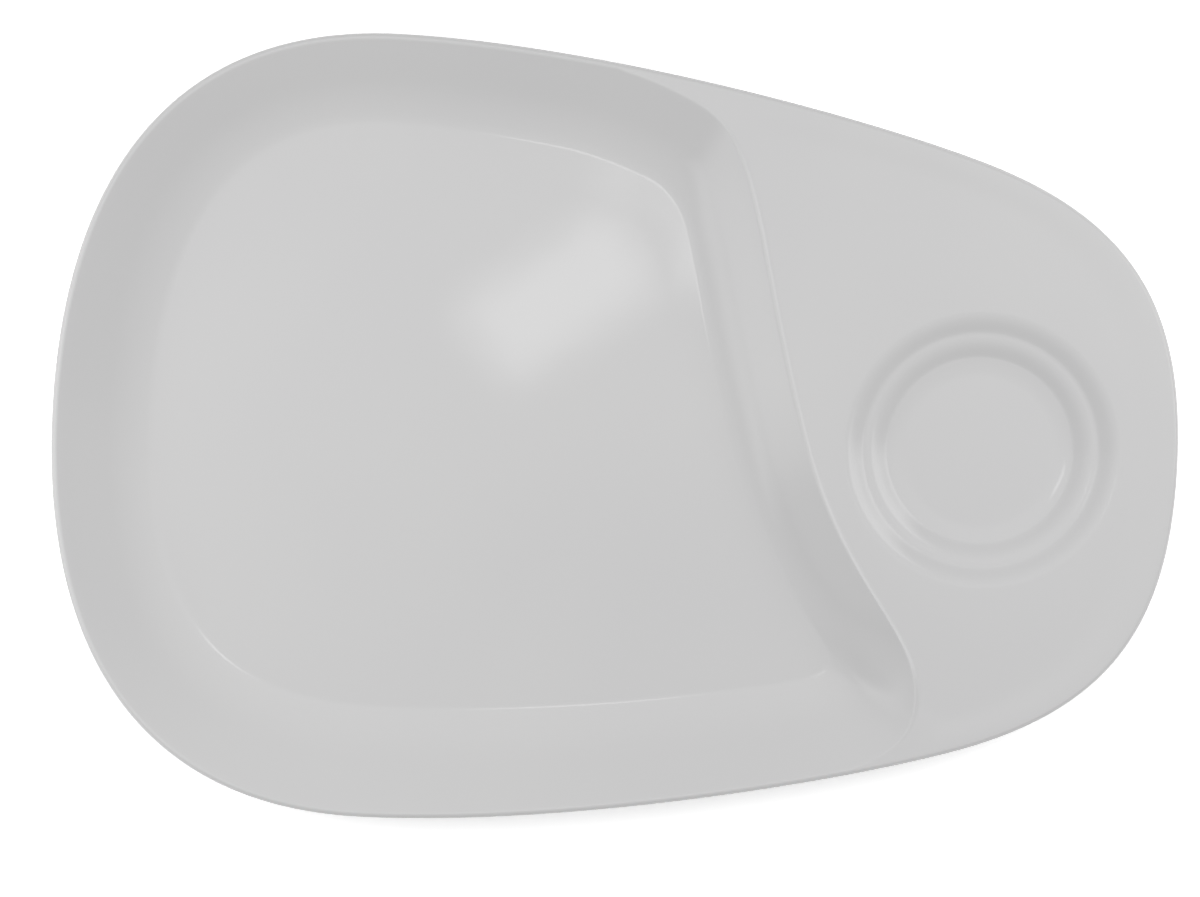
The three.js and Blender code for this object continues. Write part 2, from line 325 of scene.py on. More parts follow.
# The divider's crest, from the far side of the plate to the near side.
ridgeSizes = {
    "heading": -72.0,             # degrees
    "leadFar": 55.0 * mm,
    "leadNear": 48.0 * mm,
    "farBack": 34.5 * mm,
    "farHeading": -37.0,
    "farLead": 24.0 * mm,
    "nearAhead": 29.0 * mm,
    "nearHeading": -113.0,
    "nearLead": 32.0 * mm,
    "tuck": 2.3 * mm,
}


def ridgePoints(outline):
    ridge = SimpleNamespace(**ridgeSizes)
    depth = lipRadius + ridge.tuck
    runOn = 2 * plateSizes["halfWidth"]
    farX = ridgeX - ridge.farBack
    nearX = ridgeX + ridge.nearAhead
    far = Vector((farX, halfWidthAt(farX, outline) - depth, 0))
    near = Vector((nearX, depth - halfWidthAt(nearX, outline), 0))
    middle = Vector((ridgeX, 0, 0))
    farAlong = heading(ridge.farHeading)
    along = heading(ridge.heading)
    nearAlong = heading(ridge.nearHeading)
    start = far - farAlong * runOn
    stop = near + nearAlong * runOn
    third = runOn / 3
    return [
        (start, start, start + farAlong * third),
        (far, far - farAlong * third, far + farAlong * ridge.farLead),
        (middle, middle - along * ridge.leadFar, middle + along * ridge.leadNear),
        (near, near - nearAlong * ridge.nearLead, near + nearAlong * third),
        (stop, stop - nearAlong * third, stop),
    ]


# A tree with a Geometry input and output and one named input for each size.
def newTree(name, sizes, objects=()):
    tree = bpy.data.node_groups.new(name, "GeometryNodeTree")
    tree.interface.new_socket("Geometry", in_out="INPUT", socket_type="NodeSocketGeometry")
    tree.interface.new_socket("Geometry", in_out="OUTPUT", socket_type="NodeSocketGeometry")
    for key in sizes:
        tree.interface.new_socket(key, in_out="INPUT", socket_type="NodeSocketFloat")
    for key in objects:
        tree.interface.new_socket(key, in_out="INPUT", socket_type="NodeSocketObject")
    tree.interface.new_socket("finish", in_out="INPUT", socket_type="NodeSocketMaterial")
    given = addNode(tree, "NodeGroupInput")
    wires = {key: given.output(key) for key in (*sizes, *objects, "finish")}
    return tree, given, SimpleNamespace(**wires)


def closeTree(tree, geometry, finish):
    plain = addNode(tree, "GeometryNodeRealizeInstances", None, {"Geometry": geometry})
    plain = addNode(tree, "GeometryNodeRemoveAttribute", None, {"Geometry": plain, "Name": "sink"})
    dressed = addNode(tree, "GeometryNodeSetMaterial", None, {"Geometry": plain, "Material": finish})
    addNode(tree, "NodeGroupOutput", None, {"Geometry": dressed})


# An object's mesh with its modifiers worked in.
def plainMesh(source):
    depsgraph = bpy.context.evaluated_depsgraph_get()
    return bpy.data.meshes.new_from_object(source.evaluated_get(depsgraph), depsgraph=depsgraph)


# Runs a tree on a guide object and keeps what it makes as a plain mesh object.
def madeBy(name, guide, tree, values, thickness=0):
    modifier = guide.modifiers.new("shape", "NODES")
    modifier.node_group = tree
    for item in tree.interface.items_tree:
        if item.in_out == "INPUT" and item.name in values:
            modifier[item.identifier] = values[item.name]
    mesh = plainMesh(guide)
    guide.modifiers.remove(modifier)
    mesh.name = name
    piece = bpy.data.objects.new(name, mesh)
    bpy.context.scene.collection.objects.link(piece)
    if thickness:
        solid = piece.modifiers.new("thickness", "SOLIDIFY")
        solid.thickness = thickness
        solid.offset = -1
        solid.use_even_offset = True
        solid.use_quality_normals = True
        piece.data = plainMesh(piece)
        piece.modifiers.clear()
        bpy.data.meshes.remove(mesh)
        piece.data.name = name
    print("made", name + ":", len(piece.data.vertices), "vertices")
    return piece


def vector(tree, x, y, z):
    return addNode(tree, "ShaderNodeCombineXYZ", None, [x, y, z])


def parted(tree, wire):
    x = addNode(tree, "ShaderNodeSeparateXYZ", None, [wire])
    return x, x.output("Y"), x.output("Z")


def scaled(tree, wire, amount):
    sockets = {"Vector": wire, "Scale": amount}
    return addNode(tree, "ShaderNodeVectorMath", {"operation": "SCALE"}, sockets)


def shifted(tree, geometry, offset):
    return addNode(tree, "GeometryNodeSetPosition", None, {"Geometry": geometry, "Offset": offset})


def merged(tree, geometry):
    sockets = {"Geometry": geometry, "Distance": nodeLimits["merge"]}
    return addNode(tree, "GeometryNodeMergeByDistance", None, sockets)


# The outline with one point for each column of the surface's grids.
def evenCurve(tree, curve):
    sockets = {"Curve": curve, "Count": meshCounts["columns"]}
    return addNode(tree, "GeometryNodeResampleCurve", {"mode": "COUNT"}, sockets)


def smoothLeast(a, b, reach):
    near = (reach - abs(a - b)).most(0)
    return a.least(b) - near * near / (4 * reach)


# A curve moved to its right, which is inwards on the clockwise outline.
def insetCurve(tree, curve, distance):
    tangent = addNode(tree, "GeometryNodeInputTangent")
    inward = addNode(tree, "ShaderNodeVectorMath", {"operation": "CROSS_PRODUCT"}, [tangent, (0, 0, 1)])
    return shifted(tree, curve, scaled(tree, inward, distance))


# A low wall on a curve, which rays from the hub can meet.
def fence(tree, curve):
    edges = addNode(tree, "GeometryNodeCurveToMesh", None, {"Curve": curve})
    sockets = {"Mesh": edges, "Offset": vector(tree, 0, 0, 1), "Offset Scale": nodeLimits["fence"]}
    return addNode(tree, "GeometryNodeExtrudeMesh", {"mode": "EDGES"}, sockets)


# The plan of the plate in one tree: the hub's spokes, one for each column of the surface's grids,
# and how far along each spoke the lip, the crest and the edge of the floor lie.
def platePlan(tree, outline, ridgeObject, size):
    place = addNode(tree, "GeometryNodeInputPosition")
    column, station, _ = parted(tree, place)
    even = evenCurve(tree, outline)
    lipLine = insetCurve(tree, even, size.lipRadius)
    ridge = addNode(tree, "GeometryNodeObjectInfo", None, {"Object": ridgeObject}).output("Geometry")
    ridge = addNode(tree, "GeometryNodeResampleCurve", {"mode": "EVALUATED"}, {"Curve": ridge})
    index = column.maths("ROUND").maths("FLOORED_MODULO", meshCounts["columns"])

    def onLip(value):
        settings = {"data_type": "FLOAT_VECTOR", "domain": "POINT"}
        sockets = {"Geometry": lipLine, "Value": value, "Index": index}
        return parted(tree, addNode(tree, "GeometryNodeSampleIndex", settings, sockets))

    lipX, lipY, _ = onLip(place)
    tangentX, tangentY, _ = onLip(addNode(tree, "GeometryNodeInputTangent"))

    def reach(target, x, y):
        sockets = {
            "Target Geometry": target,
            "Source Position": vector(tree, hubX, 0, nodeLimits["fence"] / 2),
            "Ray Direction": vector(tree, x, y, 0),
            "Ray Length": nodeLimits["rayLength"],
        }
        return addNode(tree, "GeometryNodeRaycast", None, sockets).output("Hit Distance")

    # one side of the plate, the face or the underside, along the spoke in direction (x, y)
    def section(level, x, y, lip):
        spread = size.floorSpread * level.under
        crestCurve = insetCurve(tree, ridge, size.ridgeSpread * -level.under)
        blended = smoothLeast(lip, reach(fence(tree, crestCurve), x, y), size.ridgeBlend)
        gap = lip - blended
        crest = blended + gap * (gap < size.leastDeck)
        floorLine = insetCurve(tree, even, size.lipRadius + size.rimRun - spread)
        turned = {"Geometry": floorLine, "Translation": vector(tree, 0, size.floorOffAxis, 0),
                  "Rotation": vector(tree, 0, 0, size.floorTurn)}
        floorLine = addNode(tree, "GeometryNodeTransform", None, turned)
        sideLine = insetCurve(tree, ridge, size.ridgeRun - spread)
        floorReach = reach(fence(tree, floorLine), x, y)
        sideReach = reach(fence(tree, sideLine), x, y)
        floor = smoothLeast(floorReach, sideReach, size.floorBlend)
        share = ((lip - crest) / (size.ridgeShoulder + size.rimShoulder)).least(1)
        dip = (level.rimZ - level.deckZ) * share * share
        crestZ = level.rimZ - dip * level.under
        width = crest - floor
        drop = crestZ - level.floorZ
        cove = size.coveShare * (width * width + drop * drop) / (2 * drop)
        rounding = size.lipRadius + cove
        start = size.startShare * drop.atan2(width)
        run = width + cove * start.sin()
        high = drop - size.lipRadius - cove * start.cos()
        straight = (run * run + high * high - rounding * rounding).root()
        slope = high.atan2(run) + rounding.atan2(straight)
        return SimpleNamespace(lip=lip, crest=crest, floor=floor, share=share, dip=dip,
                               cove=cove, straight=straight, start=start, slope=slope)

    offsetX = lipX - hubX
    lip = (offsetX * offsetX + lipY * lipY).root()
    spokeX = offsetX / lip
    spokeY = lipY / lip
    face = SimpleNamespace(under=0, rimZ=size.rimHeight, deckZ=size.rimHeight - size.deckDrop,
                           floorZ=size.rimHeight - size.wellDepth)
    back = SimpleNamespace(under=1, rimZ=size.rimHeight - size.wall,
                           deckZ=size.rimHeight - size.deckDrop - size.deckWall,
                           floorZ=size.rimHeight - size.wellDepth - size.wall)
    return SimpleNamespace(
        tree=tree, size=size, even=even, column=column, station=station, reach=reach,
        x=spokeX, y=spokeY, outX=0 - tangentY, outY=tangentX, lip=lip,
        face=face, back=back,
        onFace=section(face, spokeX, spokeY, lip),
        onBack=section(back, spokeX, spokeY, lip),
    )


# The height of one side of the plate at a distance along a spoke.
def heightAt(plan, level, cut, distance):
    size = plan.size
    leastRun = nodeLimits["leastRun"]
    lead = cut.cove * cut.start.sin()
    coveEnd = cut.cove * cut.slope.sin()
    inCove = ((distance - cut.floor).most(0) + lead).least(coveEnd)
    coveRise = cut.cove * cut.start.cos() - (cut.cove * cut.cove - inCove * inCove).root()
    inCrease = (size.creaseReach - abs(distance - cut.floor)).most(0)
    creaseRise = inCrease * inCrease * cut.start.maths("TANGENT") / (4 * size.creaseReach)
    wallFoot = cut.floor - lead + coveEnd
    wallRun = cut.straight * cut.slope.cos()
    wallRise = (distance - wallFoot).most(0).least(wallRun) * cut.slope.maths("TANGENT")
    turn = size.lipRadius * cut.slope.sin()
    toTop = turn - (distance - wallFoot - wallRun).most(0).least(turn)
    crestFoot = size.lipRadius * cut.slope.cos()
    crestRise = (size.lipRadius * size.lipRadius - toTop * toTop).root() - crestFoot
    rimStart = cut.lip - size.rimShoulder * cut.share
    rimClimb = ((distance - rimStart) / (size.rimShoulder * cut.share).most(leastRun)).eased()
    height = level.floorZ + creaseRise + coveRise + wallRise + crestRise + cut.dip * rimClimb
    if level.under:
        return height
    ridgeFall = ((distance - cut.crest) / (size.ridgeEdge * cut.share).most(leastRun)).eased()
    return height - cut.dip * ridgeFall


# A flat grid whose X is the column and Y the station, counted from 0.
def countGrid(tree, columns, rows):
    sockets = {"Size X": columns, "Size Y": rows, "Vertices X": columns + 1, "Vertices Y": rows + 1}
    mesh = addNode(tree, "GeometryNodeMeshGrid", None, sockets)
    moved = {"Geometry": mesh, "Translation": (columns / 2, rows / 2, 0)}
    return addNode(tree, "GeometryNodeTransform", None, moved)


def placed(tree, mesh, x, y, z):
    sockets = {"Geometry": mesh, "Position": vector(tree, x, y, z)}
    return addNode(tree, "GeometryNodeSetPosition", None, sockets)


def onSpokes(plan, mesh, distance, z):
    return placed(plan.tree, mesh, hubX + plan.x * distance, plan.y * distance, z)


# How far the station has come through a run of rows, from 0 to 1.
def stage(plan, start, rows):
    return ((plan.station - start) / rows).clamped()


# The distance along the spoke from the hub up the well's wall to its crest, row by row.
def wallDistance(plan, cut, counts):
    size = plan.size
    done = 0
    parts = []
    for rows in counts:
        parts.append(stage(plan, done, rows))
        done += rows
    floorPart, creasePart, covePart, wallPart, crestPart = parts
    distance = (cut.floor - size.creaseReach) * floorPart + 2 * size.creaseReach * creasePart
    coveRun = cut.cove * (cut.slope.sin() - cut.start.sin()) - size.creaseReach
    distance = distance + coveRun * covePart + cut.straight * cut.slope.cos() * wallPart
    return distance + size.lipRadius * (cut.slope.sin() - (cut.slope * (1 - crestPart)).sin()), done


def wellCounts():
    return [meshCounts[key] for key in ("floorRows", "creaseRows", "coveRows", "wallRows", "crestRows")]


def wellMesh(plan):
    cut = plan.onFace
    distance, rows = wallDistance(plan, cut, wellCounts())
    mesh = countGrid(plan.tree, meshCounts["columns"], rows)
    return onSpokes(plan, mesh, distance, heightAt(plan, plan.face, cut, distance))


# The deck's two shoulders: from the divider's crest down, and up to the lip.
def shoulderMeshes(plan):
    cut = plan.onFace
    size = plan.size
    rows = meshCounts["shoulderRows"]
    along = plan.station / rows
    fromCrest = cut.crest + size.ridgeShoulder * cut.share * (along * along)
    toLip = cut.lip + size.rimShoulder * cut.share * (along - 1)
    meshes = []
    for distance in (fromCrest, toLip):
        mesh = countGrid(plan.tree, meshCounts["columns"], rows)
        meshes.append(onSpokes(plan, mesh, distance, heightAt(plan, plan.face, cut, distance)))
    return meshes


# The flat of the deck between its shoulders and the cup rest, and the small corners at its two ends.
def deckMeshes(plan):
    tree = plan.tree
    cut = plan.onFace
    size = plan.size
    inner = cut.crest + size.ridgeShoulder * cut.share
    outer = cut.lip - size.rimShoulder * cut.share
    distance = inner + (outer - inner) * plan.station
    onPoints = {"data_type": "FLOAT", "domain": "POINT"}
    hasFlat = {"Value": cut.share > nodeLimits["flatShare"]}
    hasFlat = addNode(tree, "GeometryNodeFieldOnDomain", onPoints, hasFlat)
    strip = {"Geometry": countGrid(tree, meshCounts["columns"], 1), "Selection": hasFlat > 0.99}
    strip = addNode(tree, "GeometryNodeSeparateGeometry", {"domain": "FACE"}, strip)
    corners = onSpokes(plan, strip.output("Inverted"), distance, plan.face.rimZ - cut.dip)
    strip = merged(tree, onSpokes(plan, strip, distance, 0))
    openEdge = addNode(tree, "GeometryNodeInputMeshEdgeNeighbors") < 1.5      # it has one face only
    border = addNode(tree, "GeometryNodeMeshToCurve", None, {"Mesh": strip, "Selection": openEdge})
    ring = {"Resolution": meshCounts["cupColumns"], "Radius": size.cupRestRadius}
    ring = addNode(tree, "GeometryNodeCurvePrimitiveCircle", {"mode": "RADIUS"}, ring)
    ring = {"Geometry": ring, "Translation": tuple(cupCentre)}
    ring = addNode(tree, "GeometryNodeTransform", None, ring)
    both = addNode(tree, "GeometryNodeJoinGeometry", None, {"Geometry": [border, ring]})
    flat = addNode(tree, "GeometryNodeFillCurve", {"mode": "TRIANGLES"}, {"Curve": both})
    return [corners, shifted(tree, flat, vector(tree, 0, 0, plan.face.deckZ))]


# The two round steps down to the cup's foot.
def cupRestMesh(plan):
    tree = plan.tree
    size = plan.size
    columns = meshCounts["cupColumns"]
    floorRows = meshCounts["cupFloorRows"]
    stepRows = meshCounts["stepRows"]
    outerFoot = size.cupRestRadius - size.stepSlope
    innerTop = outerFoot - size.terraceWidth
    innerFoot = innerTop - size.stepSlope
    innerPart = stage(plan, floorRows, stepRows)
    outerPart = stage(plan, floorRows + stepRows + 1, stepRows)
    distance = innerFoot * stage(plan, 0, floorRows) + size.stepSlope * innerPart
    terracePart = stage(plan, floorRows + stepRows, 1)
    distance = distance + size.terraceWidth * terracePart + size.stepSlope * outerPart
    climb = (innerPart ** size.stepSkew).eased() + (outerPart ** size.stepSkew).eased()
    height = plan.face.deckZ - size.stepDepth * (2 - climb)
    angle = plan.column * (-2 * math.pi / columns)
    mesh = countGrid(tree, columns, floorRows + 2 * stepRows + 1)
    x = cupCentre.x + distance * angle.cos()
    y = cupCentre.y + distance * angle.sin()
    return placed(tree, mesh, x, y, height)


# How far along the spokes a side of the foot lies, given its inset from the outline.
def footReach(plan, inset):
    return plan.reach(fence(plan.tree, insetCurve(plan.tree, plan.even, inset)), plan.x, plan.y)


# Notes on a mesh how much of the glaze's thickness the clay lies below it: 1 is all of it.
def sinking(tree, mesh, share):
    settings = {"data_type": "FLOAT", "domain": "POINT"}
    sockets = {"Geometry": mesh, "Name": "sink", "Value": share}
    return addNode(tree, "GeometryNodeStoreNamedAttribute", settings, sockets)


# Round the lip and down the underside and the foot's outer side.
def outsideMesh(plan, footInset, bottom):
    tree = plan.tree
    size = plan.size
    counts = meshCounts
    lipPart = stage(plan, 0, counts["lipRows"]) * math.pi
    done = counts["lipRows"]
    backPart = stage(plan, done, counts["backRows"]) ** counts["backCrowding"]
    done += counts["backRows"]
    filletPart = stage(plan, done, counts["filletRows"])
    done += counts["filletRows"]
    sidePart = stage(plan, done, counts["sideRows"])
    done += counts["sideRows"]
    foot = footReach(plan, footInset)
    under = plan.lip - (plan.lip - foot - size.footFillet) * backPart
    filletTurn = filletPart * (math.pi / 2)
    distance = under - size.footFillet * filletTurn.sin()
    sideTop = heightAt(plan, plan.back, plan.onBack, foot + size.footFillet) - size.footFillet
    z = plan.face.rimZ - size.wall / 2 * (1 - lipPart.cos())
    z = z + heightAt(plan, plan.back, plan.onBack, under) - plan.back.rimZ
    z = z - size.footFillet * (1 - filletTurn.cos()) - (sideTop - bottom) * sidePart
    mesh = sinking(tree, countGrid(tree, counts["columns"], done), 1 - filletPart)
    bulge = size.lipRadius * lipPart.sin()
    x = hubX + plan.x * distance + plan.outX * bulge
    y = plan.y * distance + plan.outY * bulge
    return placed(tree, mesh, x, y, z)


# The underside inside the foot, from the hub out to the foot's inner side and down it.
def baseMesh(plan, footInset, bottom):
    tree = plan.tree
    size = plan.size
    cut = plan.onBack
    distance, done = wallDistance(plan, cut, wellCounts())
    deckPart = stage(plan, done, meshCounts["underDeckRows"])
    done += meshCounts["underDeckRows"]
    filletPart = stage(plan, done, meshCounts["filletRows"])
    done += meshCounts["filletRows"]
    sidePart = stage(plan, done, meshCounts["sideRows"])
    done += meshCounts["sideRows"]
    edge = footReach(plan, footInset) - size.footFillet
    distance = (distance + (edge - cut.crest).most(0) * deckPart).least(edge)
    filletTurn = filletPart * (math.pi / 2)
    sideTop = heightAt(plan, plan.back, cut, edge) - size.footFillet
    z = heightAt(plan, plan.back, cut, distance) - size.footFillet * (1 - filletTurn.cos())
    z = z - (sideTop - bottom) * sidePart
    mesh = sinking(tree, countGrid(tree, meshCounts["columns"], done), 1 - filletPart)
    mesh = onSpokes(plan, mesh, distance + size.footFillet * filletTurn.sin(), z)
    return addNode(tree, "GeometryNodeFlipFaces", None, {"Mesh": mesh})


def joined(tree, meshes):
    whole = addNode(tree, "GeometryNodeJoinGeometry", None, {"Geometry": meshes})
    return addNode(tree, "GeometryNodeSetShadeSmooth", None, {"Geometry": merged(tree, whole)})


def faceMeshes(plan):
    return [wellMesh(plan), *shoulderMeshes(plan), *deckMeshes(plan), cupRestMesh(plan)]


def glazeCoatTree():
    tree, given, size = newTree("glazeCoat", allSizes, ["ridge"])
    plan = platePlan(tree, given.output("Geometry"), size.ridge, size)
    outside = outsideMesh(plan, size.footInset - size.glazeThickness, size.glazeLine)
    closeTree(tree, joined(tree, [*faceMeshes(plan), outside]), size.finish)
    return tree


def baseGlazeTree():
    tree, given, size = newTree("baseGlaze", allSizes, ["ridge"])
    plan = platePlan(tree, given.output("Geometry"), size.ridge, size)
    base = baseMesh(plan, size.footInset + size.footWidth + size.glazeThickness, size.glazeLine)
    closeTree(tree, joined(tree, [base]), size.finish)
    return tree


# The clay under the glaze: the same surfaces sunk by the coat's thickness, closed under the foot's rib.
def bodyTree():
    tree, given, size = newTree("porcelainBody", allSizes, ["ridge"])
    plan = platePlan(tree, given.output("Geometry"), size.ridge, size)
    outer = size.footInset + size.glazeBond
    inner = size.footInset + size.footWidth - size.glazeBond
    sole = countGrid(tree, meshCounts["columns"], 1)
    outerReach = footReach(plan, outer)
    soleReach = outerReach + (footReach(plan, inner) - outerReach) * plan.station
    sole = onSpokes(plan, sole, soleReach, size.footBand)
    face = addNode(tree, "GeometryNodeJoinGeometry", None, {"Geometry": faceMeshes(plan)})
    outside = outsideMesh(plan, outer, size.footBand)
    base = baseMesh(plan, inner, size.footBand)
    whole = joined(tree, [sinking(tree, face, 1), outside, base, sole])
    sink = addNode(tree, "GeometryNodeInputNamedAttribute", {"data_type": "FLOAT"}, {"Name": "sink"})
    depth = (0 - size.glazeThickness - size.glazeBond) * sink
    normal = addNode(tree, "GeometryNodeInputNormal")
    closeTree(tree, shifted(tree, whole, scaled(tree, normal, depth)), size.finish)
    return tree


# The bare foot: a section with rounded lower edges, swept along the outline's inset.
def footRingTree():
    tree, given, size = newTree("footRing", allSizes)
    path = evenCurve(tree, given.output("Geometry"))
    path = insetCurve(tree, path, size.footInset + size.footWidth / 2)
    path = shifted(tree, path, vector(tree, 0, 0, size.footBand / 2))
    path = addNode(tree, "GeometryNodeSetCurveNormal", {"mode": "Z_UP"}, {"Curve": path})
    corners = {"Width": size.footWidth, "Height": size.footBand}
    profile = addNode(tree, "GeometryNodeCurvePrimitiveQuadrilateral", {"mode": "RECTANGLE"}, corners)
    _, y, _ = parted(tree, addNode(tree, "GeometryNodeInputPosition"))
    rounding = size.footRounding * (y > 0)      # the two edges that stand on the table
    sockets = {"Curve": profile, "Count": meshCounts["roundingRows"], "Radius": rounding}
    profile = addNode(tree, "GeometryNodeFilletCurve", {"mode": "POLY"}, sockets)
    ring = addNode(tree, "GeometryNodeCurveToMesh", None, {"Curve": path, "Profile Curve": profile})
    closeTree(tree, joined(tree, [ring]), size.finish)
    return tree


def mixColours(tree, factor, first, second):
    settings = {"data_type": "RGBA", "blend_type": "MIX"}
    sockets = {"Factor": factor, "A": first, "B": second}
    return addNode(tree, "ShaderNodeMix", settings, sockets).output("Result")


def newMaterial(name):
    material = bpy.data.materials.new(name)
    material.use_nodes = True
    tree = material.node_tree
    tree.nodes.clear()
    return material, tree


def objectPlace(tree):
    return addNode(tree, "ShaderNodeTexCoord").output("Object")


def noiseOn(tree, place, scale, detail=2.0, roughness=0.5):
    sockets = {"Vector": place, "Scale": scale, "Detail": detail, "Roughness": roughness}
    return addNode(tree, "ShaderNodeTexNoise", {"noise_dimensions": "3D"}, sockets)


def finishMaterial(tree, sockets):
    shader = addNode(tree, "ShaderNodeBsdfPrincipled", None, sockets)
    addNode(tree, "ShaderNodeOutputMaterial", None, {"Surface": shader})


# Glossy white glaze: faint pooling, a gentle waviness and a few pinholes.
glazeLook = {
    "white": (0.655, 0.653, 0.653, 1),
    "pooled": (0.645, 0.643, 0.646, 1),
    "speck": (0.36, 0.33, 0.29, 1),
    "roughness": 0.035,
    "roughnessSpread": 0.02,
    "refraction": 1.5,
    "poolScale": 14.0,            # per metre
    "poolStart": 0.35,
    "poolGain": 3.0,
    "waveScale": 55.0,
    "waveDepth": 0.020 * mm,
    "peelScale": 420.0,
    "peelShare": 0.03,            # of the waves' depth
    "speckScale": 38.0,
    "speckRadius": 0.011,         # share of a cell
    "speckShare": 0.16,
}


def glazeMaterial():
    look = SimpleNamespace(**glazeLook)
    material, tree = newMaterial("whiteGlaze")
    place = objectPlace(tree)
    pool = ((noiseOn(tree, place, look.poolScale) - look.poolStart) * look.poolGain).clamped()
    colour = mixColours(tree, pool, look.white, look.pooled)
    cells = {"Vector": place, "Scale": look.speckScale}
    cell = addNode(tree, "ShaderNodeTexVoronoi", {"feature": "F1", "voronoi_dimensions": "3D"}, cells)
    chosen = addNode(tree, "ShaderNodeSeparateColor", None, [cell.output("Color")]) < look.speckShare
    speck = (cell.output("Distance") < look.speckRadius) * chosen
    colour = mixColours(tree, speck, colour, look.speck)
    roughness = look.roughness + look.roughnessSpread * (noiseOn(tree, place, look.waveScale) - 0.5)
    peel = look.peelShare * noiseOn(tree, place, look.peelScale, 1.0)
    waves = noiseOn(tree, place, look.waveScale, 1.0) + peel
    bump = {"Strength": 1.0, "Distance": look.waveDepth, "Height": waves}
    normal = addNode(tree, "ShaderNodeBump", None, bump)
    sockets = {"Base Color": colour, "Roughness": roughness, "IOR": look.refraction, "Normal": normal}
    finishMaterial(tree, sockets)
    return material


# Bare fired clay: matt, with a fine grain, greyer where it has been ground and has stood on tables.
clayLooks = {
    "bareFoot": {"pale": (0.60, 0.575, 0.535, 1), "dark": (0.50, 0.47, 0.42, 1), "rough": 0.72},
    "biscuit": {"pale": (0.66, 0.645, 0.61, 1), "dark": (0.60, 0.58, 0.54, 1), "rough": 0.62},
}
clayGrain = {
    "cloudScale": 45.0,           # per metre
    "cloudDetail": 4.0,
    "cloudStart": 0.4,
    "cloudGain": 2.0,
    "grainScale": 1400.0,
    "grainDetail": 3.0,
    "grainRoughness": 0.7,
    "grainGain": 0.8,
    "grainDepth": 0.05 * mm,
    "bumpStrength": 0.6,
    "roughnessSpread": 0.2,
}


def clayMaterial(name):
    look = SimpleNamespace(**clayLooks[name], **clayGrain)
    material, tree = newMaterial(name)
    place = objectPlace(tree)
    cloud = noiseOn(tree, place, look.cloudScale, look.cloudDetail)
    grain = noiseOn(tree, place, look.grainScale, look.grainDetail, look.grainRoughness)
    share = (cloud - look.cloudStart) * look.cloudGain + (grain - 0.5) * look.grainGain
    colour = mixColours(tree, share.clamped(), look.pale, look.dark)
    bump = {"Strength": look.bumpStrength, "Distance": look.grainDepth, "Height": grain}
    normal = addNode(tree, "ShaderNodeBump", None, bump)
    roughness = look.rough + look.roughnessSpread * (grain - 0.5)
    finishMaterial(tree, {"Base Color": colour, "Roughness": roughness, "Normal": normal})
    return material


outline = eggPoints()
eggGuide = bezierObject("eggGuide", outline, True, meshCounts["outlineSteps"])
ridgeGuide = bezierObject("ridgeGuide", ridgePoints(outline), False, meshCounts["ridgeSteps"])
whiteGlaze = glazeMaterial()
bareFoot = clayMaterial("bareFoot")
biscuit = clayMaterial("biscuit")
sizes = {**allSizes, "ridge": ridgeGuide}
coat = footSizes["glazeThickness"]
glazeCoat = madeBy("glazeCoat", eggGuide, glazeCoatTree(), {**sizes, "finish": whiteGlaze}, coat)
baseGlaze = madeBy("baseGlaze", eggGuide, baseGlazeTree(), {**sizes, "finish": whiteGlaze}, coat)
footRing = madeBy("footRing", eggGuide, footRingTree(), {**sizes, "finish": bareFoot})
porcelainBody = madeBy("porcelainBody", eggGuide, bodyTree(), {**sizes, "finish": biscuit})
for guide in (eggGuide, ridgeGuide):
    bpy.data.objects.remove(guide)

for piece, node, slot in (
    (porcelainBody, "porcelain_body", "biscuit"),
    (glazeCoat, "glaze_coat", "glaze"),
    (baseGlaze, "base_glaze", "glaze"),
    (footRing, "foot_ring", "bare_foot"),
):
    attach(piece, "root")
    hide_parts(node)
print("the pieces ride on the plate's one body")


# A plain white floor. From below it is clear, and it lets part of the light pass, so the underside shows.
floorLook = {
    "size": 4.0,
    "seen": (1.70, 1.70, 1.70, 1),
    "bounce": (0.18, 0.18, 0.18, 1),
    "clearShare": 0.6,            # share of the light that it lets pass
}


# 1 for the rays that show the surroundings: the camera's own, and those by way of gloss or glass.
def seenRays(path):
    camera = path.output("Is Camera Ray")
    glossy = path.output("Is Glossy Ray")
    through = path.output("Is Transmission Ray")
    return camera.most(glossy).most(through)


